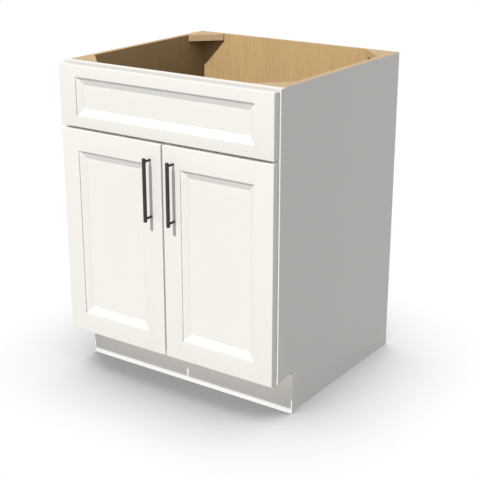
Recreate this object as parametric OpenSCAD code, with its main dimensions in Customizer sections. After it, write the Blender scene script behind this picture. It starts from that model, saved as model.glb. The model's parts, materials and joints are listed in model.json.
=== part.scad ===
// Framed sink base cabinet: plywood carcass, face frame, fixed false front and two doors.
// X runs to the right, Y to the back, Z up. The origin is on the floor, at the middle of the plan.

/* [Cabinet] */
// Overall width
body_w = 685.8; // [560:1:920]
// Depth from the front of the face frame to the back
body_d = 609.6; // [420:1:700]
// Height from the floor to the top edge
body_h = 876.3; // [780:1:960]

/* [Panels] */
// Thickness of the side panels
side_t = 15.9; // [12:0.1:20]
// Thickness of the back panel
back_t = 12.7; // [9:0.1:16]
// Thickness of the floor of the cabinet
floor_t = 12.7; // [9:0.1:20]
// Depth of the housings that hold the floor
housing_depth = 6.4; // [3:0.1:8]
// Width of the back panel's rabbet in each side panel
rabbet_w = 9.5; // [5:0.1:11]

/* [Toe space] */
// Height of the toe space
toe_h = 114.3; // [80:0.5:140]
// Depth of the toe space, from the face frame to the painted cover
toe_depth = 71; // [50:0.5:90]
// Thickness of the board that carries the floor
toe_board_t = 12.7; // [9:0.1:19]
// Thickness of the painted cover over it and the edges of the sides
toe_skin_t = 12.7; // [3:0.1:16]
// Gap between that cover and the top of the notch
toe_skin_gap = 0.8; // [0.3:0.1:3]

/* [Face frame] */
// Thickness of the face frame
frame_t = 19.05; // [16:0.05:25]
// How far the face frame and the toe space's cover reach past each side panel
frame_overhang = 5.7; // [0:0.1:8]
// Width of its stiles
stile_w = 38.1; // [32:0.1:50]
// Height of its rails
rail_h = 38.1; // [30:0.1:50]
// Length of the tenons on its rails
tenon_len = 24; // [12:1:28]
// Thickness of the tenons
tenon_t = 6.4; // [5:0.1:8]
// Shoulder above and below each tenon
tenon_shoulder = 6; // [3:0.5:10]

/* [Corner blocks] */
// Length of a corner block along each wall
block_leg = 76.2; // [50:1:120]
// Thickness of a corner block
block_t = 19.05; // [12:0.05:25]
// Blunt end of each tip
block_tip = 4; // [1:0.5:10]
// Diameter of the hole for a worktop screw
worktop_hole_d = 5; // [4:0.1:8]
// Distance of that hole from both walls
worktop_hole_in = 24; // [15:1:30]

/* [Fronts] */
// Thickness of the doors and the false front
front_t = 20.6; // [19.6:0.1:25]
// Gap between the fronts and the face frame
front_gap = 3; // [2.5:0.1:4]
// Face frame left showing at each side
reveal_side = 3.5; // [2:0.1:10]
// Face frame left showing at the top
reveal_top = 5.5; // [2:0.1:15]
// Height of the false front
false_h = 164.5; // [140:0.5:220]
// Gap between the false front and the doors
band_gap = 8.2; // [4:0.1:12]
// Gap between the two doors
door_split = 5; // [3:0.1:8]
// Flat width of the stiles of every front
flat_stile = 56; // [50:0.1:75]
// Flat width of the rails of the doors
flat_rail = 57; // [45:0.1:90]
// Flat width of the rails of the false front
flat_false_rail = 30.6; // [25:0.1:40]
// Depth of the square step inside the flat
step_depth = 3.8; // [3:0.1:6]
// Width of the sloping border inside the step
slope_w = 20; // [12:0.5:26]
// How much deeper the slope gets
slope_drop = 7.4; // [4:0.1:8]
// Thickness of the front lip at the panel
lip_t = 0.5; // [0.5:0.1:1.5]
// Thickness of the flat panel
panel_t = 5; // [4:0.1:5.2]
// How far the panel's groove reaches into the frame
groove_len = 10; // [6:0.5:12]
// Play of the panel in the bottom of its groove
panel_play = 1.5; // [0.5:0.1:3]
// Radius of the front edges
edge_r = 1.5; // [0.5:0.1:3]

/* [Bumpers and front screws] */
// Diameter of a bumper
bumper_d = 9.5; // [6:0.1:12]
// Distance of a bumper from the ends of its front
bumper_in = 8; // [6.5:0.1:9]
// Gap between a door's bumper and the face frame
bumper_gap = 0.3; // [0.2:0.05:0.6]
// Diameter of the screws that hold the false front
front_screw_d = 4; // [3:0.1:5]
// How deep they reach into the false front
front_screw_bite = 11; // [8:0.5:12]
// Distance of these screws from the sides of the cabinet
front_screw_in = 150; // [90:1:220]

/* [Pulls] */
// Distance between the two posts of a pull
pull_centres = 152.4; // [96:0.1:155]
// Length of the bar
pull_len = 170; // [165:1:300]
// Diameter of the bar
pull_bar_d = 10; // [8:0.1:14]
// Distance from the door's face to the front of the bar
pull_reach = 30; // [26:0.5:40]
// Diameter of the posts
pull_post_d = 6.4; // [5.5:0.1:7.5]
// Distance of the pull from the free edge of its door
pull_in = 35; // [20:0.5:45]
// Distance of the upper post below the top of the door
pull_drop = 44.5; // [30:0.5:120]
// Diameter of the spigot at the end of a post
spigot_d = 4; // [3:0.1:5]
// Length of that spigot
spigot_len = 3.5; // [2:0.1:4]
// Diameter of the screws in the posts
pull_screw_d = 4; // [3:0.1:4.5]
// Length of screw inside a post
pull_thread_len = 11; // [8:0.5:16]

/* [Hinges] */
// Diameter of the cups let into the doors
cup_d = 35; // [34:0.1:36]
// Depth of a cup
cup_depth = 13; // [12.5:0.1:14]
// Thickness of its wall and floor
cup_wall = 0.8; // [0.5:0.1:1]
// Distance from the middle of a cup to the hinged edge of the door
cup_in = 20.5; // [20.5:0.1:22]
// Distance from the middle of a hinge to the end of the door
hinge_end = 89; // [70:1:140]
// Diameter of the hinge pin
pin_d = 2.6; // [2:0.1:3]
// Running clearance around the pin, on the radius
pin_play = 0.05; // [0.02:0.01:0.1]
// Distance from the pin to the hinged edge of the door
pin_in = 6.9; // [6.9:0.1:7.4]
// Depth of the pin below the back of the door
pin_depth = 9.4; // [9:0.1:9.8]
// Width of a hinge arm
arm_w = 8; // [6:0.5:8]
// Thickness of the arm's strip
arm_t = 2.2; // [1.5:0.1:2.4]
// Height of the foot that is screwed to the face frame
foot_h = 42; // [36:1:50]
// Distance between the screws of a foot
foot_centres = 28; // [22:1:34]
// Diameter of the hinge screws
hinge_screw_d = 3.5; // [3:0.1:4]
// Length of the hinge screws
hinge_screw_len = 15; // [10:0.5:18]
// Thickness of the plate around a cup
flange_t = 0.8; // [0.6:0.1:1]
// Distance between the screws of that plate
flange_centres = 45; // [44:0.5:50]
// Distance of these screws from the middle of the cup
flange_in = 9.5; // [8:0.1:10]
// How far the doors open, in degrees
door_swing = 100; // [85:1:100]

/* [Hidden] */
$fn = 48;

// Main planes along Y: pulls, fronts, face frame, carcass
front_reach = front_gap + front_t + pull_reach;
face_y = (front_reach - body_d) / 2;
door_y = face_y - front_gap;
front_y = door_y - front_t;
carcass_y = face_y + frame_t;
notch_y = face_y + toe_depth + toe_skin_t;
back_y = face_y + body_d;
back_inner_y = back_y - back_t;

// Main planes along X and Z, for the right half
outer_x = body_w / 2;
side_x = outer_x - frame_overhang;
inner_x = side_x - side_t;
opening_x = outer_x - stile_w;
floor_z = toe_h + rail_h;
false_top = body_h - reveal_top;
false_bottom = false_top - false_h;
door_top = false_bottom - band_gap;
door_h = door_top - toe_h;
middle_rail_z = (false_bottom + door_top - rail_h) / 2;
false_w = body_w - 2 * reveal_side;
door_w = false_w / 2 - door_split / 2;

// Section of the fronts, from the outer edge inwards and from the face backwards
groove_y = step_depth + slope_drop + lip_t;
groove_bottom = slope_w - groove_len;

// Middle of a pull's bar in front of the door's face
bar_y = -(pull_reach - pull_bar_d / 2);

// Screws of the false front, through the overlap of its rails with those of the face frame
front_screw_z = [(false_top + body_h - rail_h) / 2, (false_bottom + middle_rail_z + rail_h) / 2];
front_screw_len = frame_t + front_gap + front_screw_bite;

// Hinges, for the right door: cup, pin, and the inner face of the cheeks that hold the pin
hinge_edge_x = outer_x - reveal_side;
hinge_z = [toe_h + hinge_end, door_top - hinge_end];
cup_x = hinge_edge_x - cup_in;
pin_x = hinge_edge_x - pin_in;
pin_y = door_y - pin_depth;
cheek_z = arm_w / 2 + 0.3;
cheek_t = 2.5;

// The arm leaves the pin level, clears the lip of the open cup, and turns round the edge of the stile
foot_x = opening_x - arm_t / 2;
arm_line = [
    [pin_x, pin_y], [pin_x - 11.5, pin_y - 0.9], [foot_x + 0.8 * arm_t, face_y - 4.6],
    [foot_x, face_y - 0.9], [foot_x, face_y + frame_t / 2]
];

left = -1;
right = 1;
eps = 0.01;

white_paint = "#f6f3ee";
maple = "#c5a678";
plywood_core = "#b8986c";
black_steel = "#33312f";
nickel = "#b9b9b6";
rubber_grey = "#dcdcdc";

// Box between two corners
module slab(from, to) {
    translate(from)
        cube(to - from);
}

// Everything is drawn for the right half; the left half mirrors it
module on_side(side) {
    mirror([side == left ? 1 : 0, 0, 0])
        children();
}

// Carcass

module side_panel(side) {
    color(white_paint)
        on_side(side)
            difference() {
                slab([inner_x, carcass_y, 0], [side_x, back_y, body_h]);
                slab([inner_x - eps, carcass_y - eps, -eps], [side_x + eps, notch_y, toe_h]);
                slab([inner_x - eps, back_inner_y, -eps],
                     [inner_x + rabbet_w, back_y + eps, body_h + eps]);
                slab([inner_x - eps, carcass_y - eps, floor_z - floor_t],
                     [inner_x + housing_depth, back_inner_y + eps, floor_z]);
            }
}

module bottom_panel() {
    reach_x = inner_x + housing_depth;
    color(maple)
        difference() {
            slab([-reach_x, carcass_y, floor_z - floor_t], [reach_x, back_inner_y + housing_depth, floor_z]);
            for (side = [left, right])
                on_side(side)
                    slab([inner_x, back_inner_y, floor_z - floor_t - eps],
                         [reach_x + eps, back_y, floor_z + eps]);
        }
}

module back_panel() {
    reach_x = inner_x + rabbet_w;
    color(maple)
        difference() {
            slab([-reach_x, back_inner_y, 0], [reach_x, back_y, body_h]);
            slab([-inner_x, back_inner_y - eps, floor_z - floor_t],
                 [inner_x, back_inner_y + housing_depth, floor_z]);
        }
}

module toe_board() {
    color(plywood_core)
        slab([-inner_x, notch_y, 0], [inner_x, notch_y + toe_board_t, floor_z - floor_t]);
}

module toe_skin() {
    color(white_paint)
        slab([-outer_x, notch_y - toe_skin_t, 0], [outer_x, notch_y, toe_h - toe_skin_gap]);
}

// Triangular block in the corner between a side and the wall at wall_y; inward is 1 towards the back
module corner_block(side, wall_y, inward) {
    leg = block_leg;
    color(maple)
        on_side(side)
            translate([inner_x, wall_y, body_h - block_t])
                mirror([1, 0, 0])
                    mirror([0, inward == 1 ? 0 : 1, 0])
                        difference() {
                            linear_extrude(block_t)
                                polygon([[0, 0], [leg, 0], [leg, block_tip], [block_tip, leg], [0, leg]]);
                            translate([worktop_hole_in, worktop_hole_in, -eps])
                                cylinder(d = worktop_hole_d, h = block_t + 2 * eps);
                        }
}

// Face frame

module tenon(side, z) {
    tenon_y = face_y + (frame_t - tenon_t) / 2;
    on_side(side)
        slab([opening_x - eps, tenon_y, z + tenon_shoulder],
             [opening_x + tenon_len, tenon_y + tenon_t, z + rail_h - tenon_shoulder]);
}

module frame_stile(side) {
    color(white_paint)
        difference() {
            on_side(side)
                slab([opening_x, face_y, toe_h], [outer_x, carcass_y, body_h]);
            for (z = [toe_h, middle_rail_z, body_h - rail_h])
                tenon(side, z);
            frame_screw_holes(side);
        }
}

module frame_rail(z) {
    color(white_paint)
        difference() {
            union() {
                slab([-opening_x, face_y, z], [opening_x, carcass_y, z + rail_h]);
                for (side = [left, right])
                    tenon(side, z);
            }
            front_screws_at()
                cylinder(d = front_screw_d, h = 3 * frame_t, center = true);
        }
}

// False front and doors: framed panels, drawn from their lower left front corner

module member_section(flat) {
    inner = flat + slope_w;
    groove_end = flat + groove_bottom;
    polygon([
        [0, 0], [flat, 0], [flat, step_depth], [inner, step_depth + slope_drop],
        [inner, groove_y], [groove_end, groove_y],
        [groove_end, groove_y + panel_t], [inner, groove_y + panel_t],
        [inner, front_t], [0, front_t]
    ]);
}

// Outline of a front's thickness with its two front edges rounded
module rounded_section(width) {
    polygon(concat(
        [for (t = [0:15:90]) [edge_r * (1 - cos(t)), edge_r * (1 - sin(t))]],
        [for (t = [90:-15:0]) [width - edge_r * (1 - cos(t)), edge_r * (1 - sin(t))]],
        [[width, front_t], [0, front_t]]
    ));
}

// Turns a section drawn along its width and depth so that it runs along X
module along_x(length) {
    mirror([0, 0, 1])
        rotate([0, 90, 0])
            linear_extrude(length)
                children();
}

module front_blank(width, height) {
    intersection() {
        linear_extrude(height)
            rounded_section(width);
        along_x(width)
            rounded_section(height);
    }
}

module raw_stile(flat, height) {
    linear_extrude(height)
        member_section(flat);
}

module front_stile(side, width, height) {
    intersection() {
        front_blank(width, height);
        translate([side == right ? width : 0, 0, 0])
            mirror([side == right ? 1 : 0, 0, 0])
                raw_stile(flat_stile, height);
    }
}

// Rail with its ends shaped over the sloping edge of the stiles and into their grooves
module front_rail(upper, flat, width, height) {
    intersection() {
        front_blank(width, height);
        difference() {
            translate([flat_stile, 0, upper ? height : 0])
                mirror([0, 0, upper ? 1 : 0])
                    along_x(width - 2 * flat_stile)
                        member_section(flat);
            raw_stile(flat_stile, height);
            translate([width, 0, 0])
                mirror([1, 0, 0])
                    raw_stile(flat_stile, height);
        }
    }
}

module front_panel(flat_z, width, height) {
    edge_x = flat_stile + groove_bottom + panel_play;
    edge_z = flat_z + groove_bottom + panel_play;
    slab([edge_x, groove_y, edge_z], [width - edge_x, groove_y + panel_t, height - edge_z]);
}

module place_false_front() {
    translate([-false_w / 2, front_y, false_bottom])
        children();
}

module false_stile(side) {
    color(white_paint)
        place_false_front()
            front_stile(side, false_w, false_h);
}

module false_rail(upper) {
    color(white_paint)
        difference() {
            place_false_front()
                front_rail(upper, flat_false_rail, false_w, false_h);
            front_screws_at()
                cylinder(d = front_screw_d, h = 2 * front_screw_len, center = true);
        }
}

module false_panel() {
    color(white_paint)
        place_false_front()
            front_panel(flat_false_rail, false_w, false_h);
}

// The doors are drawn on the right, with the pull's stile at the middle of the cabinet
module place_door(side) {
    on_side(side)
        translate([door_split / 2, front_y, toe_h])
            children();
}

module door_hinge_stile(side) {
    color(white_paint)
        difference() {
            place_door(side)
                front_stile(right, door_w, door_h);
            cup_pockets(side);
        }
}

module door_pull_stile(side) {
    color(white_paint)
        place_door(side)
            difference() {
                front_stile(left, door_w, door_h);
                posts_at()
                    cylinder(d = pull_screw_d, h = 4 * front_t, center = true);
            }
}

module door_rail(side, upper) {
    color(white_paint)
        place_door(side)
            front_rail(upper, flat_rail, door_w, door_h);
}

module door_panel(side) {
    color(white_paint)
        place_door(side)
            front_panel(flat_rail, door_w, door_h);
}

// Screws and bumpers of the fronts

// A screw with its head's seat at the origin, pointing along +Z, and a cross recess in its head
module pan_screw(shaft_d, length, head_d, head_h) {
    slot_w = head_d / 6;
    slot_len = head_d * 0.55;
    difference() {
        union() {
            cylinder(d = shaft_d, h = length);
            translate([0, 0, -head_h / 2])
                cylinder(d = head_d, h = head_h / 2);
            translate([0, 0, -head_h])
                cylinder(d1 = head_d * 0.7, d2 = head_d, h = head_h / 2 + eps, $fn = 48);
        }
        for (turn = [0, 90])
            rotate(turn)
                translate([-slot_len / 2, -slot_w / 2, -head_h - eps])
                    cube([slot_len, slot_w, head_h * 0.6]);
    }
}

// Positions of a door's two posts, pointing to the back, from the corner of the door
module posts_at() {
    for (z = [door_h - pull_drop, door_h - pull_drop - pull_centres])
        translate([pull_in, 0, z])
            rotate([-90, 0, 0])
                children();
}

// Positions of the false front's screws, pointing to the front
module front_screws_at() {
    for (side = [left, right], z = front_screw_z)
        translate([side * (outer_x - front_screw_in), carcass_y, z])
            rotate([90, 0, 0])
                children();
}

module false_front_screws() {
    color(nickel)
        front_screws_at()
            pan_screw(front_screw_d, front_screw_len, 2.2 * front_screw_d, 2.6);
}

// Domed pad standing on the back of a front, pointing to the back
module bumper(height) {
    dome = height / 3;
    rotate([-90, 0, 0])
        rotate_extrude()
            polygon([[0, 0], [bumper_d / 2, 0], [bumper_d / 2, height - dome],
                     [bumper_d / 2 - dome / 2, height - dome / 4], [bumper_d / 4, height], [0, height]]);
}

module false_front_bumpers() {
    color(rubber_grey)
        for (side = [left, right], z = [false_bottom + bumper_in, false_top - bumper_in])
            translate([side * (false_w / 2 - bumper_in), door_y, z])
                bumper(front_gap);
}

module door_bumpers(side) {
    color(rubber_grey)
        place_door(side)
            for (z = [bumper_in, door_h - bumper_in])
                translate([bumper_in, front_t, z])
                    bumper(front_gap - bumper_gap);
}

// Pulls

module bar_solid() {
    bevel = 0.8;
    r = pull_bar_d / 2;
    half = pull_len / 2;
    translate([pull_in, bar_y, door_h - pull_drop - pull_centres / 2])
        rotate_extrude()
            polygon([[0, -half], [r - bevel, -half], [r, bevel - half],
                     [r, half - bevel], [r - bevel, half], [0, half]]);
}

// Spigots of both posts, which fill blind holes in the back of the bar
module spigots() {
    posts_at()
        translate([0, 0, bar_y + pull_bar_d / 2 - spigot_len])
            cylinder(d = spigot_d, h = 2 * spigot_len);
}

module pull_bar(side) {
    color(black_steel)
        place_door(side)
            difference() {
                bar_solid();
                spigots();
            }
}

module pull_posts(side) {
    color(black_steel)
        place_door(side)
            difference() {
                union() {
                    difference() {
                        posts_at()
                            translate([0, 0, bar_y])
                                cylinder(d = pull_post_d, h = -bar_y);
                        bar_solid();
                    }
                    spigots();
                }
                posts_at()
                    translate([0, 0, -pull_thread_len])
                        cylinder(d = pull_screw_d, h = pull_thread_len + eps);
            }
}

module pull_screws(side) {
    color(nickel)
        place_door(side)
            posts_at()
                translate([0, 0, front_t])
                    rotate([180, 0, 0])
                        pan_screw(pull_screw_d, front_t + pull_thread_len, 2 * pull_screw_d, 2.4);
}

// Hinges: a cup in the door turns on a pin, on an arm that is screwed to the edge of the face frame

module at_hinges(side) {
    on_side(side)
        for (z = hinge_z)
            translate([0, 0, z])
                children();
}

// Positions of a cup's screws, pointing into the door
module flange_screws_at() {
    for (z = [-flange_centres / 2, flange_centres / 2])
        translate([cup_x - flange_in, door_y + flange_t, z])
            rotate([90, 0, 0])
                children();
}

// Positions of a foot's screws, pointing into the edge of the stile
module foot_screws_at() {
    for (z = [-foot_centres / 2, foot_centres / 2])
        translate([opening_x - arm_t, face_y + frame_t / 2, z])
            rotate([0, 90, 0])
                children();
}

module cup_hollow() {
    translate([cup_x, door_y + flange_t + eps, 0])
        rotate([90, 0, 0])
            cylinder(d = cup_d - 2 * cup_wall, h = cup_depth - cup_wall + flange_t + eps, $fn = 96);
}

// Cheeks inside the cup, one on each side of the arm, that hold the pin
module cup_cheeks() {
    cheek_r = 1.2 * pin_d;
    for (z = [-cheek_z - cheek_t, cheek_z])
        slab([pin_x - cheek_r, door_y - cup_depth, z], [hinge_edge_x, pin_y + cheek_r, z + cheek_t]);
}

module hinge_cups(side) {
    rim_r = cup_d / 2 + 1.2;
    ear_r = 5;
    color(nickel)
        at_hinges(side)
            difference() {
                union() {
                    difference() {
                        translate([cup_x, door_y, 0])
                            rotate([90, 0, 0])
                                cylinder(d = cup_d, h = cup_depth, $fn = 96);
                        cup_hollow();
                    }
                    difference() {
                        union() {
                            translate([cup_x, door_y + flange_t, 0])
                                rotate([90, 0, 0])
                                    cylinder(r = rim_r, h = flange_t, $fn = 96);
                            flange_screws_at()
                                cylinder(r = ear_r, h = flange_t);
                            slab([cup_x - flange_in - ear_r, door_y, -flange_centres / 2],
                                 [cup_x - flange_in + ear_r, door_y + flange_t, flange_centres / 2]);
                        }
                        cup_hollow();
                    }
                    intersection() {
                        cup_cheeks();
                        cup_hollow();
                    }
                }
                translate([pin_x, pin_y, -cheek_z - cheek_t - eps])
                    cylinder(d = pin_d, h = 2 * (cheek_z + cheek_t + eps));
                flange_screws_at()
                    cylinder(d = hinge_screw_d, h = 3 * flange_t, center = true);
            }
}

// What a door's stile loses to its hinges, in the cabinet's place
module cup_pockets(side) {
    at_hinges(side) {
        translate([cup_x, door_y + eps, 0])
            rotate([90, 0, 0])
                cylinder(d = cup_d, h = cup_depth + eps, $fn = 96);
        flange_screws_at()
            cylinder(d = hinge_screw_d, h = hinge_screw_len);
    }
}

module cup_screws(side) {
    color(nickel)
        at_hinges(side)
            flange_screws_at()
                pan_screw(hinge_screw_d, hinge_screw_len, 2 * hinge_screw_d, 1.4);
}

module hinge_pins(side) {
    color(nickel)
        at_hinges(side)
            translate([pin_x, pin_y, -cheek_z - cheek_t])
                cylinder(d = pin_d, h = 2 * (cheek_z + cheek_t));
}

// Outline of a strip of even thickness along a bent line
function across(a, b) = [a.y - b.y, b.x - a.x] / norm(b - a);
function corner(line, i) =
    i == 0 ? across(line[0], line[1]) :
    i == len(line) - 1 ? across(line[i - 1], line[i]) :
    let (a = across(line[i - 1], line[i]), b = across(line[i], line[i + 1])) (a + b) / (1 + a * b);
function strip(line, t) = concat(
    [for (i = [0:1:len(line) - 1]) line[i] + corner(line, i) * t / 2],
    [for (i = [len(line) - 1:-1:0]) line[i] - corner(line, i) * t / 2]
);

module hinge_arms(side) {
    eye_d = pin_d + 2.2;
    color(nickel)
        at_hinges(side)
            difference() {
                union() {
                    translate([0, 0, -arm_w / 2])
                        linear_extrude(arm_w)
                            polygon(strip(arm_line, arm_t));
                    translate([pin_x, pin_y, -arm_w / 2])
                        cylinder(d = eye_d, h = arm_w);
                    slab([opening_x - arm_t, face_y + 1, -foot_h / 2],
                         [opening_x, face_y + frame_t - 1, foot_h / 2]);
                }
                translate([pin_x, pin_y, 0])
                    cylinder(r = pin_d / 2 + pin_play, h = 2 * arm_w, center = true);
                foot_screws_at()
                    cylinder(d = hinge_screw_d, h = 3 * arm_t, center = true);
            }
}

// Pilot holes in a frame stile
module frame_screw_holes(side) {
    at_hinges(side)
        foot_screws_at()
            cylinder(d = hinge_screw_d, h = hinge_screw_len);
}

module arm_screws(side) {
    color(nickel)
        at_hinges(side)
            foot_screws_at()
                pan_screw(hinge_screw_d, hinge_screw_len, 2 * hinge_screw_d, 2);
}

side_panel(left);  // side_panel_left
side_panel(right);  // side_panel_right
bottom_panel();
back_panel();
toe_board();
toe_skin();
corner_block(left, carcass_y, 1);  // corner_block_front_left
corner_block(left, back_inner_y, -1);  // corner_block_rear_left
corner_block(right, carcass_y, 1);  // corner_block_front_right
corner_block(right, back_inner_y, -1);  // corner_block_rear_right
frame_stile(left);  // frame_stile_left
frame_stile(right);  // frame_stile_right
frame_rail(body_h - rail_h);  // frame_rail_top
frame_rail(middle_rail_z);  // frame_rail_middle
frame_rail(toe_h);  // frame_rail_bottom
false_stile(left);  // false_stile_left
false_stile(right);  // false_stile_right
false_rail(true);  // false_rail_top
false_rail(false);  // false_rail_bottom
false_panel();
false_front_screws();
false_front_bumpers();
door_hinge_stile(left);  // left_door_hinge_stile
door_pull_stile(left);  // left_door_pull_stile
door_rail(left, true);  // left_door_rail_top
door_rail(left, false);  // left_door_rail_bottom
door_panel(left);  // left_door_panel
door_bumpers(left);  // left_door_bumpers
pull_bar(left);  // left_pull_bar
pull_posts(left);  // left_pull_posts
pull_screws(left);  // left_pull_screws
hinge_cups(left);  // left_hinge_cups
hinge_pins(left);  // left_hinge_pins
cup_screws(left);  // left_cup_screws
hinge_arms(left);  // left_hinge_arms
arm_screws(left);  // left_arm_screws
door_hinge_stile(right);  // right_door_hinge_stile
door_pull_stile(right);  // right_door_pull_stile
door_rail(right, true);  // right_door_rail_top
door_rail(right, false);  // right_door_rail_bottom
door_panel(right);  // right_door_panel
door_bumpers(right);  // right_door_bumpers
pull_bar(right);  // right_pull_bar
pull_posts(right);  // right_pull_posts
pull_screws(right);  // right_pull_screws
hinge_cups(right);  // right_hinge_cups
hinge_pins(right);  // right_hinge_pins
cup_screws(right);  // right_cup_screws
hinge_arms(right);  // right_hinge_arms
arm_screws(right);  // right_arm_screws
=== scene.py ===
import json
import math

import bmesh
import bpy
from mathutils import Matrix, Vector
from mathutils.bvhtree import BVHTree


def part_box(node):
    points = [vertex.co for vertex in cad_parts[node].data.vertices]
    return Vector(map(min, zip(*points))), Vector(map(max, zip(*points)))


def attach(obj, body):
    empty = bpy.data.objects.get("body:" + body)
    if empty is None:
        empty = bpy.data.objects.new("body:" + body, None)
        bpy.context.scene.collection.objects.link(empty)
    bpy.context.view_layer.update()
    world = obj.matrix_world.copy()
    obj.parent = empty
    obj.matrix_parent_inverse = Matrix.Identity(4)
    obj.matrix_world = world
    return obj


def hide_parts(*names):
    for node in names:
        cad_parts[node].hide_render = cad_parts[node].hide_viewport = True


# Sink base cabinet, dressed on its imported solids: painted fronts, maple plywood, black pulls, nickel hinges

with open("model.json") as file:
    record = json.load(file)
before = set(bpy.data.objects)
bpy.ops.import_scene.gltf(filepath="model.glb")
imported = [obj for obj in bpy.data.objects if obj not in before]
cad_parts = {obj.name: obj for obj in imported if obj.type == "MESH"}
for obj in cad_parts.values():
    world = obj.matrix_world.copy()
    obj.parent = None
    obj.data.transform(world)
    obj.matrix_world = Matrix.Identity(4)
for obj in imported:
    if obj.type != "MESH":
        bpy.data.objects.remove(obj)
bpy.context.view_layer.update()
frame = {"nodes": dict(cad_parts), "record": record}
nodes = frame["nodes"]
bodyOf = {n: body for body, members in frame["record"]["behaviour"]["bodies"].items() for n in members}
slotOf = {s["node"]: s["material_slot"] for s in frame["record"]["subparts"]}
scene = bpy.context.scene
mm = 0.001
print("frame loaded:", len(nodes), "nodes")


# Camera, placed from the middle of the face frame's front

cameraLook = {
    "right": 1.7187, "inFront": 2.1564, "height": 1.4008,  # where it stands
    "yaw": 34.69, "pitch": 19.30, "roll": 0.0,             # degrees, from straight at the front
    "fieldOfView": 24.309, "farthest": 60.0,
}


def makeCamera(look):
    data = bpy.data.cameras.new("camera")
    data.angle = math.radians(look["fieldOfView"])
    data.clip_end = look["farthest"]
    camera = bpy.data.objects.new("camera", data)
    scene.collection.objects.link(camera)
    turn = (Matrix.Rotation(math.radians(look["yaw"]), 4, "Z")
            @ Matrix.Rotation(math.radians(90 - look["pitch"]), 4, "X")
            @ Matrix.Rotation(math.radians(look["roll"]), 4, "Z"))
    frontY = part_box("frame_rail_top")[0].y
    camera.matrix_world = Matrix.Translation((look["right"], frontY - look["inFront"], look["height"])) @ turn
    scene.camera = camera


makeCamera(cameraLook)


# Materials

def startMaterial(name):
    material = bpy.data.materials.new(name)
    material.use_nodes = True
    tree = material.node_tree
    coords = addNode(tree, "ShaderNodeTexCoord").outputs["Object"]
    return material, tree, tree.nodes["Principled BSDF"], coords


def addNode(tree, kind, settings=None, **inputs):
    # inputs go by the socket's name, or by its place as i0, i1 and so on
    node = tree.nodes.new(kind)
    for key, value in (settings or {}).items():
        setattr(node, key, value)
    for key, value in inputs.items():
        socket = node.inputs[int(key[1:])] if key[0] == "i" and key[1:].isdigit() else node.inputs[key]
        if isinstance(value, bpy.types.NodeSocket):
            tree.links.new(value, socket)
        else:
            socket.default_value = value
    return node


def calc(tree, operation, a, b=0.0, c=0.0):
    return addNode(tree, "ShaderNodeMath", {"operation": operation}, i0=a, i1=b, i2=c).outputs[0]


def times(tree, a, b):
    return calc(tree, "MULTIPLY", a, b)


def mixColors(tree, factor, a, b):
    return addNode(tree, "ShaderNodeMix", {"data_type": "RGBA"}, i0=factor, i6=a, i7=b).outputs[2]


def remap(tree, value, given, wanted=(0.0, 1.0), settings=None):
    return addNode(tree, "ShaderNodeMapRange", settings, Value=value, i1=given[0], i2=given[1],
                   i3=wanted[0], i4=wanted[1]).outputs[0]


def shade(color, factor):
    return (*(c * factor for c in color), 1.0)


def noise(tree, coords, perMetre, detail):
    return addNode(tree, "ShaderNodeTexNoise", None, Vector=coords, Scale=perMetre, Detail=detail).outputs[0]


def stretchedNoise(tree, coords, grain, across, along, detail, seed):
    scale = [across, across, across]
    scale["XYZ".index(grain)] = along
    place = (seed, seed * 0.7, seed * 1.3)
    mapping = addNode(tree, "ShaderNodeMapping", None, Vector=coords, Scale=scale, Location=place)
    return addNode(tree, "ShaderNodeTexNoise", None, Vector=mapping.outputs[0], Scale=1.0, Detail=detail,
                   Roughness=0.55).outputs[0]


def roughen(tree, shader, value, wanted):
    tree.links.new(remap(tree, value, (0.0, 1.0), wanted), shader.inputs["Roughness"])


def addBump(tree, shader, height, distance, strength, invert=False):
    # a second bump lies on the first
    bump = addNode(tree, "ShaderNodeBump", {"invert": invert}, Strength=strength, Distance=distance, Height=height)
    if shader.inputs["Normal"].links:
        tree.links.new(shader.inputs["Normal"].links[0].from_socket, bump.inputs["Normal"])
    tree.links.new(bump.outputs[0], shader.inputs["Normal"])


whitePaintLook = {
    "color": (0.905, 0.885, 0.842), "unevenness": 0.012, "cloudsPerMetre": 5.0,
    "roughness": 0.42, "roughnessSpread": 0.06, "bump": 0.5,
    "peelPerMetre": 650.0, "peelHeight": 0.05 * mm,
    # the wood's grain, which shows faintly through the paint
    "grain": {"across": 420.0, "along": 9.0, "detail": 4.0, "seed": 0.0}, "grainHeight": 0.06 * mm,
}


def whitePaint(name, grain):
    look = whitePaintLook
    material, tree, shader, coords = startMaterial(name)
    clouds = noise(tree, coords, look["cloudsPerMetre"], 2.0)
    color = mixColors(tree, clouds, shade(look["color"], 1 - look["unevenness"]),
                      shade(look["color"], 1 + look["unevenness"]))
    tree.links.new(color, shader.inputs["Base Color"])
    telegraph = stretchedNoise(tree, coords, grain, **look["grain"])
    peel = noise(tree, coords, look["peelPerMetre"], 1.0)
    rough = calc(tree, "MULTIPLY_ADD", telegraph, look["roughnessSpread"],
                 look["roughness"] - look["roughnessSpread"] / 2)
    tree.links.new(rough, shader.inputs["Roughness"])
    addBump(tree, shader, telegraph, look["grainHeight"], look["bump"])
    addBump(tree, shader, peel, look["peelHeight"], look["bump"])
    return material


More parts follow.
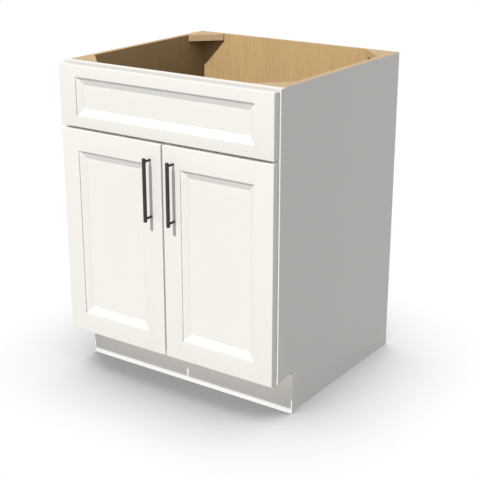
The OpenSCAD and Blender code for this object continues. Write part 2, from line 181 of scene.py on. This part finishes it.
mapleLook = {
    "color": (0.690, 0.476, 0.233), "dark": 0.955, "light": 1.045, "roughness": (0.41, 0.52), "gloss": 0.25,
    # noise of each part of the figure: across and along are scales per metre
    "bands": {"across": 26.0, "along": 0.9, "detail": 2.0, "seed": 3.1},
    "streaks": {"across": 190.0, "along": 6.0, "detail": 5.0, "seed": 7.7},
    "flecks": {"across": 240.0, "along": 14.0, "detail": 1.0, "seed": 5.3},
    "pores": {"across": 1500.0, "along": 45.0, "detail": 2.0, "seed": 1.9},
    "bandShare": 0.4, "figureRange": (0.36, 0.64),
    "fleckRange": (0.53, 0.62), "fleckShade": 0.19, "fleckTone": 0.55,
    "poreRange": (0.62, 0.72), "poreShade": 0.35, "poreTone": 0.62, "poreHeight": 0.03 * mm, "bump": 0.6,
}


def mapleVeneer(name, grain, tone=1.0):
    look = mapleLook
    material, tree, shader, coords = startMaterial(name)
    bands, streaks, flecks, pores = (stretchedNoise(tree, coords, grain, **look[kind])
                                     for kind in ("bands", "streaks", "flecks", "pores"))
    both = calc(tree, "MULTIPLY_ADD", bands, look["bandShare"], times(tree, streaks, 1.0 - look["bandShare"]))
    figure = remap(tree, both, look["figureRange"])
    color = mixColors(tree, figure, shade(look["color"], look["dark"] * tone),
                      shade(look["color"], look["light"] * tone))
    fleckMask = remap(tree, flecks, look["fleckRange"], (0.0, look["fleckShade"]))
    color = mixColors(tree, fleckMask, color, shade(look["color"], look["fleckTone"] * tone))
    poreMask = times(tree, remap(tree, pores, look["poreRange"]), look["poreShade"])
    color = mixColors(tree, poreMask, color, shade(look["color"], look["poreTone"] * tone))
    tree.links.new(color, shader.inputs["Base Color"])
    roughen(tree, shader, streaks, look["roughness"])
    shader.inputs["Specular IOR Level"].default_value = look["gloss"]
    addBump(tree, shader, pores, look["poreHeight"], look["bump"], invert=True)
    return material


plyLook = {
    "longGrain": (0.72, 0.53, 0.30), "endGrain": (0.58, 0.40, 0.22), "glue": (0.36, 0.24, 0.14),
    "plies": 9, "glueShare": 0.10, "glueShade": 0.45, "roughness": 0.75, "gloss": 0.2,
    "offset": 0.06, "wobble": 0.12, "wobblesPerMetre": 60.0,  # offset and wobble as shares of a ply
    "fibresPerMetre": 700.0, "fibreRange": (0.35, 0.7), "fibreShade": 0.22, "fibreTone": 0.7,
    "fibreHeight": 0.08 * mm, "bump": 0.7,
}


def plyEdge(name, across, node, tone=1.0):
    look = plyLook
    material, tree, shader, coords = startMaterial(name)
    low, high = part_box(node)
    index = "XYZ".index(across)
    pitch = (high[index] - low[index]) / look["plies"]
    depth = addNode(tree, "ShaderNodeSeparateXYZ", None, Vector=coords).outputs[index]
    wobble = noise(tree, coords, look["wobblesPerMetre"], 2.0)
    depth = calc(tree, "SUBTRACT", depth, low[index] + look["offset"] * pitch)
    depth = calc(tree, "ADD", depth, times(tree, wobble, look["wobble"] * pitch))
    turns = calc(tree, "DIVIDE", depth, pitch)
    odd = calc(tree, "ABSOLUTE", calc(tree, "MODULO", calc(tree, "FLOOR", turns), 2.0))
    plyColor = mixColors(tree, odd, shade(look["longGrain"], tone), shade(look["endGrain"], tone))
    fibres = noise(tree, coords, look["fibresPerMetre"], 3.0)
    fibreMask = remap(tree, fibres, look["fibreRange"], (0.0, look["fibreShade"]))
    mottled = mixColors(tree, fibreMask, plyColor, shade(look["endGrain"], look["fibreTone"] * tone))
    seam = calc(tree, "LESS_THAN", calc(tree, "FRACT", turns), look["glueShare"])
    color = mixColors(tree, times(tree, seam, look["glueShade"]), mottled, shade(look["glue"], 1.0))
    tree.links.new(color, shader.inputs["Base Color"])
    shader.inputs["Roughness"].default_value = look["roughness"]
    shader.inputs["Specular IOR Level"].default_value = look["gloss"]
    addBump(tree, shader, fibres, look["fibreHeight"], look["bump"])
    return material


blackLook = {
    "color": (0.058, 0.052, 0.047), "dark": 0.8, "light": 1.2, "roughness": (0.45, 0.55), "gloss": 0.15,
    "grainPerMetre": 2600.0, "grainHeight": 0.02 * mm, "bump": 0.5,
}


def satinBlack(name):
    look = blackLook
    material, tree, shader, coords = startMaterial(name)
    powder = noise(tree, coords, look["grainPerMetre"], 2.0)
    color = mixColors(tree, powder, shade(look["color"], look["dark"]), shade(look["color"], look["light"]))
    tree.links.new(color, shader.inputs["Base Color"])
    roughen(tree, shader, powder, look["roughness"])
    shader.inputs["Specular IOR Level"].default_value = look["gloss"]
    addBump(tree, shader, powder, look["grainHeight"], look["bump"])
    return material


nickelLook = {
    "color": (0.60, 0.585, 0.56), "dark": 0.93, "light": 1.06, "cloudsPerMetre": 90.0, "roughness": (0.20, 0.36),
    "brush": {"across": 3200.0, "along": 220.0, "detail": 3.0, "seed": 0.0}, "brushHeight": 0.01 * mm, "bump": 0.3,
}


def nickelPlate(name):
    look = nickelLook
    material, tree, shader, coords = startMaterial(name)
    brush = stretchedNoise(tree, coords, "Z", **look["brush"])
    clouds = noise(tree, coords, look["cloudsPerMetre"], 3.0)
    color = mixColors(tree, clouds, shade(look["color"], look["dark"]), shade(look["color"], look["light"]))
    tree.links.new(color, shader.inputs["Base Color"])
    roughen(tree, shader, brush, look["roughness"])
    shader.inputs["Metallic"].default_value = 1.0
    addBump(tree, shader, brush, look["brushHeight"], look["bump"])
    return material


padLook = {
    "darkest": (0.74, 0.75, 0.74), "lightest": (0.84, 0.84, 0.82), "hazePerMetre": 500.0, "roughness": (0.25, 0.4),
}


def milkyPad(name):
    look = padLook
    material, tree, shader, coords = startMaterial(name)
    haze = noise(tree, coords, look["hazePerMetre"], 2.0)
    color = mixColors(tree, haze, shade(look["darkest"], 1.0), shade(look["lightest"], 1.0))
    tree.links.new(color, shader.inputs["Base Color"])
    roughen(tree, shader, haze, look["roughness"])
    return material


paintUpright = whitePaint("white_paint_upright", "Z")
paintLevel = whitePaint("white_paint_level", "X")
mapleUpright = mapleVeneer("maple_upright", "Z")
mapleLevel = mapleVeneer("maple_level", "X")
blockWood = mapleVeneer("maple_block", "X", tone=0.82)
black = satinBlack("satin_black")
nickel = nickelPlate("nickel_plate")
padMaterial = milkyPad("milky_pad")
print("materials made")


# Wood and metal pieces: copies of the solids with eased edges, apart from those that meet a neighbour

easeLook = {
    "wood": 0.5 * mm, "paint": 0.45 * mm, "metal": 0.25 * mm,  # how far an edge is eased
    "segments": 2, "sharpFrom": 40.0, "shortest": 2.0 * mm,    # edges at least this sharp and long are eased
    "smoothBelow": 12.0, "broadFrom": 0.85, "lean": 0.5,       # shading of the broad faces and the strips between
    "touch": 0.06 * mm, "testedAt": (0.1, 0.5, 0.9),           # where an edge is tested for a neighbour
    "weld": 0.002 * mm, "flatWithin": 0.3, "facing": 0.9,
}


def treeOf(node):
    work = bmesh.new()
    work.from_mesh(node.data)
    tree = BVHTree.FromBMesh(work)
    work.free()
    return tree


neighbours = {name: (bodyOf[name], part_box(name), treeOf(node)) for name, node in nodes.items()}


def meetsNeighbour(name, points):
    touch = easeLook["touch"]
    for other, (body, (low, high), tree) in neighbours.items():
        if other == name or body != bodyOf[name]:
            continue
        for point in points:
            inside = all(low[i] - touch <= point[i] <= high[i] + touch for i in range(3))
            if inside and tree.find_nearest(point, touch)[0] is not None:
                return True
    return False


def finishPiece(obj, name, smoothBelow):
    # the modifiers' result becomes the piece's own plain mesh
    evaluated = obj.evaluated_get(bpy.context.evaluated_depsgraph_get())
    mesh = bpy.data.meshes.new_from_object(evaluated)
    obj.modifiers.clear()
    old = obj.data
    obj.data = mesh
    bpy.data.meshes.remove(old)
    mesh.name = name
    if smoothBelow is not None:
        mesh.shade_smooth()
        mesh.set_sharp_from_angle(angle=math.radians(smoothBelow))
    return obj


def evenNormals(mesh, narrowest):
    # broad faces keep their own direction and the narrow eased strips turn from one to the next
    lean = easeLook["lean"]
    alike = math.cos(math.radians(easeLook["smoothBelow"]))
    work = bmesh.new()
    work.from_mesh(mesh)
    work.normal_update()
    broad = {f: f.calc_area() * 2 > narrowest * f.calc_perimeter() for f in work.faces}
    normals = []
    for face in work.faces:
        for vert in face.verts:
            near = [(g.normal.dot(face.normal), g) for g in vert.link_faces if broad[g]]
            if broad[face]:
                chosen = [g for cosine, g in near if cosine > alike]
            else:
                cosine, nearest = max(near, default=(0.0, None), key=lambda pair: pair[0])
                around = [g for g in vert.link_faces if g.normal.dot(face.normal) > lean]
                chosen = [nearest] if cosine > lean else around
            direction = sum((g.normal for g in chosen), Vector()).normalized() if chosen else face.normal.copy()
            normals.append(direction)
    work.free()
    mesh.normals_split_custom_set(normals)


def needsEasing(name, edge):
    if not edge.is_manifold or not edge.is_convex or edge.calc_length() < easeLook["shortest"]:
        return False
    if edge.calc_face_angle() < math.radians(easeLook["sharpFrom"]):
        return False
    a, b = (v.co for v in edge.verts)
    return not meetsNeighbour(name, [a.lerp(b, t) for t in easeLook["testedAt"]])


def easedPiece(name, materials, pick, ease):
    mesh = nodes[name].data.copy()
    mesh.materials.clear()
    for material in materials:
        mesh.materials.append(material)
    work = bmesh.new()
    work.from_mesh(mesh)
    bmesh.ops.remove_doubles(work, verts=work.verts, dist=easeLook["weld"])
    bmesh.ops.dissolve_limit(work, angle_limit=math.radians(easeLook["flatWithin"]), verts=work.verts,
                             edges=work.edges)
    work.normal_update()
    weights = work.edges.layers.float.new("bevel_weight_edge")
    for edge in work.edges:
        if needsEasing(name, edge):
            edge[weights] = 1.0
    for face in work.faces:
        face.smooth = True
        face.material_index = pick(face)
    work.to_mesh(mesh)
    work.free()
    piece = bpy.data.objects.new(name + "_finished", mesh)
    scene.collection.objects.link(piece)
    bevel = piece.modifiers.new("ease", "BEVEL")
    bevel.width = ease
    bevel.segments = easeLook["segments"]
    bevel.limit_method = "WEIGHT"
    evenNormals(finishPiece(piece, name, None).data, easeLook["broadFrom"] * ease)
    dress(piece, [name])


def dress(piece, replaced):
    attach(piece, bodyOf[replaced[0]])
    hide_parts(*replaced)


# Which material a face takes: each function gives its place in the piece's list

def allAlike(face):
    return 0


def sheetFaces(axis):
    return lambda face: 0 if abs(face.normal["XYZ".index(axis)]) > easeLook["facing"] else 1


def sideFaces(sign, floorLevel):
    # painted outside and on the edges over the toe space, veneered inside, bare plywood at the other edges
    def pick(face):
        across = face.normal.x * sign
        overToe = face.normal.z < -easeLook["facing"] and face.calc_center_median().z > floorLevel
        return 0 if across > easeLook["facing"] or overToe else 1 if across < -easeLook["facing"] else 2
    return pick


carcassLook = {
    "blockEdgeTone": 1.16,
    "aboveFloor": 10 * mm,  # a side's edges that look down and lie higher than this are over the toe space
    # veneer and direction of the thickness of each sheet
    "sheets": {"back_panel": (mapleUpright, "Y"), "bottom_panel": (mapleLevel, "Z"), "toe_board": (mapleLevel, "Y")},
}


def makeCarcass(look):
    ease = easeLook["wood"]
    for name, sign in (("side_panel_left", -1), ("side_panel_right", 1)):
        easedPiece(name, [paintUpright, mapleUpright, plyEdge(name + "_edge", "X", name)],
                   sideFaces(sign, look["aboveFloor"]), ease)
    for name, (veneer, axis) in look["sheets"].items():
        easedPiece(name, [veneer, plyEdge(name + "_edge", axis, name)], sheetFaces(axis), ease)
    easedPiece("toe_skin", [paintLevel], allAlike, ease)
    blockEdge = plyEdge("block_edge", "Z", "corner_block_front_left", look["blockEdgeTone"])
    for name in [n for n in nodes if n.startswith("corner_block")]:
        easedPiece(name, [blockWood, blockEdge], sheetFaces("Z"), ease)


def makeFronts():
    for name in [n for n in nodes if slotOf[n] == "white_paint" and n != "toe_skin"]:
        level = "rail" in name or name == "false_panel"
        easedPiece(name, [paintLevel if level else paintUpright], allAlike, easeLook["paint"])


def makeHinges():
    for name in [n for n in nodes if n.endswith(("hinge_cups", "hinge_arms", "hinge_pins"))]:
        easedPiece(name, [nickel], allAlike, easeLook["metal"])


makeCarcass(carcassLook)
print("carcass dressed")
makeFronts()
print("face frame, false front and doors dressed")
makeHinges()
print("hinges dressed")


# Geometry Nodes helpers

def startTree(name, inputs):
    tree = bpy.data.node_groups.new(name, "GeometryNodeTree")
    tree.is_modifier = True
    for label, kind, value in inputs:
        socket = tree.interface.new_socket(label, in_out="INPUT", socket_type=kind)
        if value is not None:
            socket.default_value = value
    tree.interface.new_socket("Geometry", in_out="OUTPUT", socket_type="NodeSocketGeometry")
    return tree, tree.nodes.new("NodeGroupInput").outputs, tree.nodes.new("NodeGroupOutput").inputs


def endTree(tree, geometry, material, out):
    real = addNode(tree, "GeometryNodeRealizeInstances", None, Geometry=geometry).outputs[0]
    painted = addNode(tree, "GeometryNodeSetMaterial", None, Geometry=real, Material=material).outputs[0]
    tree.links.new(painted, out["Geometry"])


def point3(tree, x=0.0, y=0.0, z=0.0):
    return addNode(tree, "ShaderNodeCombineXYZ", None, X=x, Y=y, Z=z).outputs[0]


def placeOf(tree):
    position = tree.nodes.new("GeometryNodeInputPosition").outputs[0]
    return addNode(tree, "ShaderNodeSeparateXYZ", None, Vector=position).outputs


def shifted(tree, geometry, **place):
    return addNode(tree, "GeometryNodeTransform", None, Geometry=geometry,
                   Translation=point3(tree, **place)).outputs[0]


def domeShape(tree, look, diameter, rise):
    # the upper half of a ball, with its lower half pressed flat
    ball = addNode(tree, "GeometryNodeMeshUVSphere", None, Segments=look["sides"], Rings=look["rings"],
                   Radius=1.0).outputs["Mesh"]
    spot = placeOf(tree)
    radius = times(tree, diameter, 0.5)
    up = calc(tree, "POWER", calc(tree, "MAXIMUM", spot[2], 0.0), look["domePower"])
    place = point3(tree, times(tree, spot[0], radius), times(tree, spot[1], radius), times(tree, up, rise))
    dome = addNode(tree, "GeometryNodeSetPosition", None, Geometry=ball, Position=place).outputs[0]
    return addNode(tree, "GeometryNodeMergeByDistance", None, Geometry=dome, Distance=0.001 * mm).outputs[0]


def sweepCurve(tree, curve, profile, scale=1.0):
    return addNode(tree, "GeometryNodeCurveToMesh", None, Curve=curve, Scale=scale,
                   **{"Profile Curve": profile, "Fill Caps": True}).outputs[0]


def circle(tree, sides, radius):
    return addNode(tree, "GeometryNodeCurvePrimitiveCircle", None, Resolution=sides, Radius=radius).outputs[0]


def onPoints(tree, points, shape, aim):
    turned = addNode(tree, "FunctionNodeAlignRotationToVector", {"axis": "Z"}, Vector=aim).outputs[0]
    return addNode(tree, "GeometryNodeInstanceOnPoints", None, Points=points, Instance=shape,
                   Rotation=turned).outputs[0]


def runTree(name, tree, values, smoothBelow, mesh=None):
    host = bpy.data.objects.new(name, mesh or bpy.data.meshes.new(name))
    scene.collection.objects.link(host)
    modifier = host.modifiers.new("build", "NODES")
    modifier.node_group = tree
    sockets = {s.name: s.identifier for s in tree.interface.items_tree if s.in_out == "INPUT"}
    for label, value in values.items():
        modifier[sockets[label]] = value
    bpy.context.view_layer.update()
    return finishPiece(host, name, smoothBelow)


def solidBoxes(name):
    # the corners of each separate solid in a node
    work = bmesh.new()
    work.from_mesh(nodes[name].data)
    bmesh.ops.remove_doubles(work, verts=work.verts, dist=easeLook["weld"])
    left, found = set(work.verts), []
    while left:
        queue, points = [left.pop()], []
        while queue:
            vert = queue.pop()
            points.append(vert.co.copy())
            for edge in vert.link_edges:
                other = edge.other_vert(vert)
                if other in left:
                    left.remove(other)
                    queue.append(other)
        found.append([Vector([pick(p[i] for p in points) for i in range(3)]) for pick in (min, max)])
    work.free()
    return sorted(found, key=lambda box: tuple(box[0]))


# Screws: domed head with a cross recess, and a threaded shank

screwLook = {
    # shares of the head's width, and for the recess's depth of its height
    "recessWidth": 0.17, "recessLength": 0.58, "recessDepth": 0.55, "tip": 0.25,
    "pitch": 1.4 * mm, "core": 0.74, "threadStart": 0.12, "threadLength": 0.86,  # shares of the shank
    "threadSunk": 0.62, "threadRadius": 0.6,                                     # shares of the thread's height
    "domePower": 0.75, "sides": 32, "rings": 20, "shankSides": 24, "threadSteps": 20, "threadSides": 6,
    "smoothBelow": 35,
    # by the ending of the node's name
    "kinds": {
        "false_front_screws": {"headHeight": 2.6 * mm, "shaft": 4.0 * mm},
        "arm_screws": {"headHeight": 2.0 * mm, "shaft": 3.5 * mm},
        "cup_screws": {"headHeight": 1.4 * mm, "shaft": 3.5 * mm},
        "pull_screws": {"headHeight": 2.4 * mm, "shaft": 4.0 * mm},
    },
}


def screwTree(look):
    tree, given, out = startTree("screws", [
        ("Geometry", "NodeSocketGeometry", None), ("Shaft diameter", "NodeSocketFloat", 4 * mm),
        ("Head diameter", "NodeSocketFloat", 8 * mm), ("Head height", "NodeSocketFloat", 2.4 * mm),
        ("Length", "NodeSocketFloat", 30 * mm), ("Material", "NodeSocketMaterial", None)])
    headWidth, headHeight = given["Head diameter"], given["Head height"]
    shaft = times(tree, given["Shaft diameter"], 0.5)
    core = times(tree, shaft, look["core"])
    tip = times(tree, headWidth, look["tip"])
    body = calc(tree, "SUBTRACT", given["Length"], tip)

    rod = addNode(tree, "GeometryNodeMeshCylinder", None, Vertices=look["shankSides"], Radius=core,
                  Depth=body).outputs["Mesh"]
    rod = shifted(tree, rod, z=times(tree, body, 0.5))
    point = addNode(tree, "GeometryNodeMeshCone", None, Vertices=look["shankSides"], Depth=tip,
                    **{"Radius Top": 0.0, "Radius Bottom": core}).outputs["Mesh"]
    point = shifted(tree, point, z=body)

    ridge = calc(tree, "SUBTRACT", shaft, core)
    spiralR = calc(tree, "SUBTRACT", shaft, times(tree, ridge, look["threadSunk"]))
    threaded = times(tree, body, look["threadLength"])
    turns = calc(tree, "DIVIDE", threaded, look["pitch"])
    spiral = addNode(tree, "GeometryNodeCurveSpiral", None, Resolution=look["threadSteps"], Rotations=turns,
                     Height=threaded, **{"Start Radius": spiralR, "End Radius": spiralR}).outputs[0]
    wire = circle(tree, look["threadSides"], times(tree, ridge, look["threadRadius"]))
    thread = shifted(tree, sweepCurve(tree, spiral, wire), z=times(tree, body, look["threadStart"]))

    top = times(tree, headHeight, -1.0)
    dome = domeShape(tree, look, headWidth, top)
    reach = times(tree, headWidth, look["recessLength"])
    wide = times(tree, headWidth, look["recessWidth"])
    deep = times(tree, headHeight, 2 * look["recessDepth"])
    arms = addNode(tree, "GeometryNodeJoinGeometry")
    for turn in (0.0, math.pi / 2):
        arm = addNode(tree, "GeometryNodeMeshCube", None, Size=point3(tree, reach, wide, deep)).outputs["Mesh"]
        arm = addNode(tree, "GeometryNodeTransform", None, Geometry=arm, Rotation=(0.0, 0.0, turn),
                      Translation=point3(tree, z=top)).outputs[0]
        tree.links.new(arm, arms.inputs[0])
    head = addNode(tree, "GeometryNodeMeshBoolean", {"operation": "DIFFERENCE", "solver": "EXACT"},
                   **{"Mesh 1": dome, "Mesh 2": arms.outputs[0]})

    whole = addNode(tree, "GeometryNodeJoinGeometry")
    for part in (rod, point, thread, head.outputs[0]):
        tree.links.new(part, whole.inputs[0])
    aim = addNode(tree, "GeometryNodeInputNamedAttribute", {"data_type": "FLOAT_VECTOR"}, Name="aim").outputs[0]
    endTree(tree, onPoints(tree, given["Geometry"], whole.outputs[0], aim), given["Material"], out)
    return tree


def seatPoints(name, seats, aim):
    mesh = bpy.data.meshes.new(name)
    mesh.from_pydata([tuple(s) for s in seats], [], [])
    attribute = mesh.attributes.new("aim", "FLOAT_VECTOR", "POINT")
    attribute.data.foreach_set("vector", [c for _ in seats for c in aim])
    return mesh


def makeScrews(look):
    tree = screwTree(look)
    for name in [n for n in nodes if n.endswith("screws")]:
        kind = next(k for k in look["kinds"] if name.endswith(k))
        size = look["kinds"][kind]
        # the arms' screws lie across the cabinet, the others along its depth
        along = 0 if kind == "arm_screws" else 1
        outward = -1 if name.startswith("left") else 1
        aim = Vector((outward, 0, 0)) if along == 0 else Vector((0, -1, 0))
        boxes = solidBoxes(name)
        low, high = boxes[0]
        headWidth, length = high.z - low.z, high[along] - low[along] - size["headHeight"]
        seats = []
        for low, high in boxes:
            seat = (low + high) / 2
            start = low[along] if aim[along] > 0 else high[along]
            seat[along] = start + aim[along] * size["headHeight"]
            seats.append(seat)
        piece = runTree(name + "_finished", tree, {
            "Shaft diameter": size["shaft"], "Head diameter": headWidth, "Head height": size["headHeight"],
            "Length": length, "Material": nickel}, look["smoothBelow"], seatPoints(name, seats, aim))
        dress(piece, [name])


makeScrews(screwLook)
print("screws made")


# Bumpers: low domes on the backs of the fronts

bumperLook = {"sides": 40, "rings": 24, "domePower": 0.5, "smoothBelow": 60}


def bumperTree(look):
    tree, given, out = startTree("bumpers", [
        ("Geometry", "NodeSocketGeometry", None), ("Diameter", "NodeSocketFloat", 9.5 * mm),
        ("Height", "NodeSocketFloat", 3 * mm), ("Material", "NodeSocketMaterial", None)])
    dome = domeShape(tree, look, given["Diameter"], given["Height"])
    endTree(tree, onPoints(tree, given["Geometry"], dome, (0.0, 1.0, 0.0)), given["Material"], out)
    return tree


def makeBumpers(look):
    tree = bumperTree(look)
    for name in [n for n in nodes if n.endswith("bumpers")]:
        boxes = solidBoxes(name)
        seats = [Vector(((low.x + high.x) / 2, low.y, (low.z + high.z) / 2)) for low, high in boxes]
        low, high = boxes[0]
        piece = runTree(name + "_finished", tree, {
            "Diameter": high.z - low.z, "Height": high.y - low.y, "Material": padMaterial},
            look["smoothBelow"], seatPoints(name, seats, (0, 1, 0)))
        dress(piece, [name])


makeBumpers(bumperLook)
print("bumpers made")


# Pulls: a round bar with softened ends on two posts

pullLook = {
    "endRadius": 1.2 * mm, "within": 0.02 * mm,  # how much thinner the bar is than its solid
    "rings": 120, "sides": 40, "postSides": 32, "smoothBelow": 30,
}


def pullTree(look):
    tree, given, out = startTree("bar_pull", [
        ("Length", "NodeSocketFloat", 170 * mm), ("Diameter", "NodeSocketFloat", 10 * mm),
        ("Post diameter", "NodeSocketFloat", 6.4 * mm), ("Post spacing", "NodeSocketFloat", 152 * mm),
        ("Reach", "NodeSocketFloat", 27 * mm), ("End radius", "NodeSocketFloat", 1.2 * mm),
        ("Place", "NodeSocketVector", None), ("Material", "NodeSocketMaterial", None)])
    half = times(tree, given["Length"], 0.5)
    line = addNode(tree, "GeometryNodeCurvePrimitiveLine", None, Start=point3(tree, z=times(tree, half, -1.0)),
                   End=point3(tree, z=half)).outputs[0]
    line = addNode(tree, "GeometryNodeResampleCurve", None, Curve=line, Count=look["rings"]).outputs[0]
    # points gather at both ends, where the bar's end is rounded
    share = calc(tree, "DIVIDE", placeOf(tree)[2], half)
    eased = calc(tree, "SINE", times(tree, share, math.pi / 2))
    line = addNode(tree, "GeometryNodeSetPosition", None, Geometry=line,
                   Position=point3(tree, z=times(tree, eased, half))).outputs[0]
    inset = calc(tree, "SUBTRACT", half, calc(tree, "ABSOLUTE", placeOf(tree)[2]))
    endR = given["End radius"]
    short = calc(tree, "MAXIMUM", calc(tree, "SUBTRACT", endR, inset), 0.0)
    squared = calc(tree, "SUBTRACT", times(tree, endR, endR), times(tree, short, short))
    lift = calc(tree, "SQRT", calc(tree, "MAXIMUM", squared, 0.0))
    barR = times(tree, given["Diameter"], 0.5)
    radius = calc(tree, "ADD", calc(tree, "SUBTRACT", barR, endR), lift)
    line = addNode(tree, "GeometryNodeSetCurveRadius", None, Curve=line, Radius=radius).outputs[0]
    # the profile is a circle of radius 1, scaled by the curve's own radius
    curveR = tree.nodes.new("GeometryNodeInputRadius").outputs[0]
    bar = sweepCurve(tree, line, circle(tree, look["sides"], 1.0), curveR)
    whole = addNode(tree, "GeometryNodeJoinGeometry")
    tree.links.new(bar, whole.inputs[0])
    postR = times(tree, given["Post diameter"], 0.5)
    for sign in (-0.5, 0.5):
        height = times(tree, given["Post spacing"], sign)
        post = addNode(tree, "GeometryNodeCurvePrimitiveLine", None, Start=point3(tree, z=height),
                       End=point3(tree, y=given["Reach"], z=height)).outputs[0]
        tree.links.new(sweepCurve(tree, post, circle(tree, look["postSides"], postR)), whole.inputs[0])
    placed = addNode(tree, "GeometryNodeTransform", None, Geometry=whole.outputs[0], Translation=given["Place"])
    endTree(tree, placed.outputs[0], given["Material"], out)
    return tree


def makePulls(look):
    tree = pullTree(look)
    for side in ("left", "right"):
        low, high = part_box(side + "_pull_bar")
        postLow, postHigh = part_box(side + "_pull_posts")
        post = postHigh.x - postLow.x
        middle = (low + high) / 2
        piece = runTree(side + "_pull_finished", tree, {
            "Length": high.z - low.z, "Diameter": high.x - low.x - look["within"], "Post diameter": post,
            "Post spacing": postHigh.z - postLow.z - post, "Reach": postHigh.y - middle.y,
            "End radius": look["endRadius"], "Place": middle, "Material": black}, look["smoothBelow"])
        dress(piece, [side + "_pull_bar", side + "_pull_posts"])


makePulls(pullLook)
print("pulls made")


# Floor, background and light

stageLook = {
    # the floor's light for bounced rays, and the brighter colour of its painted glow under the fronts
    "ambient": (0.385, 0.388, 0.398), "floorLight": (0.395, 0.395, 0.395), "glowUnderFront": (0.460, 0.478, 0.510),
    "sun": (1.0, 0.985, 0.960), "sunStrength": 2.83, "sunHeight": 47.0, "sunSize": 2.0,
    # share kept of light that has already met a surface, and from which bounce on
    "bounced": {"sun": (0.0, 1), "sky": (0.42, 2), "floor": (4.0, 1)},
    # the patch of floor ahead of the toe space glows brighter for bounced light, a painted light that lights the toe
    # cover from below: it fades over these distances from the cover
    "ahead": (0.14, 0.06), "behind": 0.02, "beside": (0.01, 0.05),
    "floorRadius": 30.0, "floorSides": 64,
    # the floor's shadow: how far it reaches, and the floor's shade by how open it is
    "shadowReach": 0.36, "shadowSamples": 24,
    "shadow": {0.0: 0.31, 0.36: 0.33, 0.46: 0.42, 0.56: 0.57, 0.68: 0.75, 0.84: 0.90, 0.97: 1.0},
}


def bouncedShare(tree, path, share, firstBounce):
    deeper = calc(tree, "GREATER_THAN", path["Ray Depth"], firstBounce + 0.5)
    return calc(tree, "MULTIPLY_ADD", deeper, share - 1.0, 1.0)


def seenRay(tree, path):
    mirrored = calc(tree, "MAXIMUM", path["Is Glossy Ray"], path["Is Transmission Ray"])
    return calc(tree, "MAXIMUM", path["Is Camera Ray"], mirrored)


def emptyTree(owner):
    owner.use_nodes = True
    owner.node_tree.nodes.clear()
    return owner.node_tree, owner.node_tree.nodes.new("ShaderNodeLightPath").outputs


# where the floor glows brighter than the rest: a painted patch of light under the fronts, ahead of the toe space
def glowUnderFront(tree, look):
    low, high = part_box("toe_skin")
    place = addNode(tree, "ShaderNodeNewGeometry").outputs[0]
    spot = addNode(tree, "ShaderNodeSeparateXYZ", None, Vector=place).outputs
    smooth = {"interpolation_type": "SMOOTHSTEP"}
    far, near = look["ahead"]
    ahead = remap(tree, spot[1], (low.y - far, low.y - near), settings=smooth)
    behind = remap(tree, spot[1], (low.y + look["behind"], low.y), settings=smooth)
    past, within = look["beside"]
    across = remap(tree, calc(tree, "ABSOLUTE", spot[0]), (high.x + past, high.x - within), settings=smooth)
    return times(tree, times(tree, ahead, behind), across)


def shadowRamp(tree, look):
    ramp = tree.nodes.new("ShaderNodeValToRGB")
    ramp.color_ramp.interpolation = "B_SPLINE"
    stops = look["shadow"]
    elements = ramp.color_ramp.elements
    elements[0].position, elements[1].position = min(stops), max(stops)
    for position in list(stops)[1:-1]:
        elements.new(position)
    for element, value in zip(elements, stops.values()):
        element.color = (value, value, value, 1.0)
    return ramp


def makeFloor(look):
    bpy.ops.mesh.primitive_circle_add(vertices=look["floorSides"], radius=look["floorRadius"], fill_type="NGON")
    floor = bpy.context.object
    floor.name = "floor"
    material = bpy.data.materials.new("floor")
    tree, path = emptyTree(material)
    openness = addNode(tree, "ShaderNodeAmbientOcclusion", {"samples": look["shadowSamples"]},
                       Distance=look["shadowReach"]).outputs["AO"]
    ramp = shadowRamp(tree, look)
    tree.links.new(openness, ramp.inputs[0])
    glow = addNode(tree, "ShaderNodeEmission", None, Color=ramp.outputs[0], Strength=1.0).outputs[0]
    # bounced light leaves the floor at an even level, and brighter in the painted patch of light under the fronts
    level = mixColors(tree, glowUnderFront(tree, look), shade(look["floorLight"], 1.0), shade(look["glowUnderFront"], 1.0))
    lit = addNode(tree, "ShaderNodeEmission", None, Color=level,
                  Strength=bouncedShare(tree, path, *look["bounced"]["floor"])).outputs[0]
    mix = addNode(tree, "ShaderNodeMixShader", None, i0=seenRay(tree, path), i1=lit, i2=glow).outputs[0]
    addNode(tree, "ShaderNodeOutputMaterial", None, Surface=mix)
    material.cycles.emission_sampling = "NONE"
    floor.data.materials.append(material)


def makeSun(look):
    sun = bpy.data.lights.new("sun", "SUN")
    sun.energy = look["sunStrength"]
    sun.color = look["sun"]
    sun.angle = math.radians(look["sunSize"])
    sun.cycles.use_multiple_importance_sampling = False
    sun.use_nodes = True
    tree = sun.node_tree
    path = tree.nodes.new("ShaderNodeLightPath").outputs
    tree.links.new(bouncedShare(tree, path, *look["bounced"]["sun"]), tree.nodes["Emission"].inputs["Strength"])
    lamp = bpy.data.objects.new("sun", sun)
    scene.collection.objects.link(lamp)
    lamp.rotation_euler = (math.radians(90 - look["sunHeight"]), 0, 0)


def makeSky(look):
    world = bpy.data.worlds.new("studio")
    scene.world = world
    world.cycles.sampling_method = "NONE"
    tree, path = emptyTree(world)
    soft = addNode(tree, "ShaderNodeBackground", None, Color=shade(look["ambient"], 1.0),
                   Strength=bouncedShare(tree, path, *look["bounced"]["sky"])).outputs[0]
    white = addNode(tree, "ShaderNodeBackground", None, Color=(1.0, 1.0, 1.0, 1.0), Strength=1.0).outputs[0]
    mix = addNode(tree, "ShaderNodeMixShader", None, i0=seenRay(tree, path), i1=soft, i2=white).outputs[0]
    addNode(tree, "ShaderNodeOutputWorld", None, Surface=mix)


makeFloor(stageLook)
makeSun(stageLook)
makeSky(stageLook)
scene.view_settings.view_transform = "Standard"
print("stage lit")
